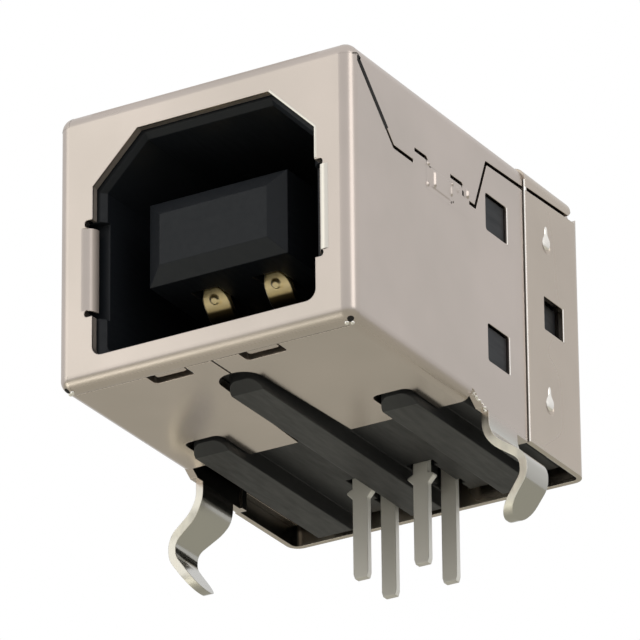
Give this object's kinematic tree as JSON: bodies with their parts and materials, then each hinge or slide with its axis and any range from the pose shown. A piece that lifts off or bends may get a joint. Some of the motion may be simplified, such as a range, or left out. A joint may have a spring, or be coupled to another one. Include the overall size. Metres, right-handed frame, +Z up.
{
  "type": "usb-b socket",
  "caption": "Right-angle through-hole square plug socket: folded nickel-plated shell with snap-in legs, black insulator with a tongue, gold contacts with soldering tails.",
  "frame": {"origin": "on the board's top face, midway between the shell's two legs", "axes": "+Z up from the board; -Y out of the plug mouth; X across the mouth"},
  "size_m": [0.0146, 0.0162, 0.0145],
  "materials": {
    "shell_nickel": "nickel plated, satin",
    "cover_nickel": "nickel plated, satin",
    "black_plastic": "moulded, fine matt",
    "contact_metal": "gold flash on the contact end, tin on the tail"
  },
  "bodies": {
    "root": {"front_shell": "shell_nickel", "rear_shell": "cover_nickel", "housing": "black_plastic", "contact_1": "contact_metal", "contact_2": "contact_metal", "contact_3": "contact_metal", "contact_4": "contact_metal"}
  },
  "joints": []
}
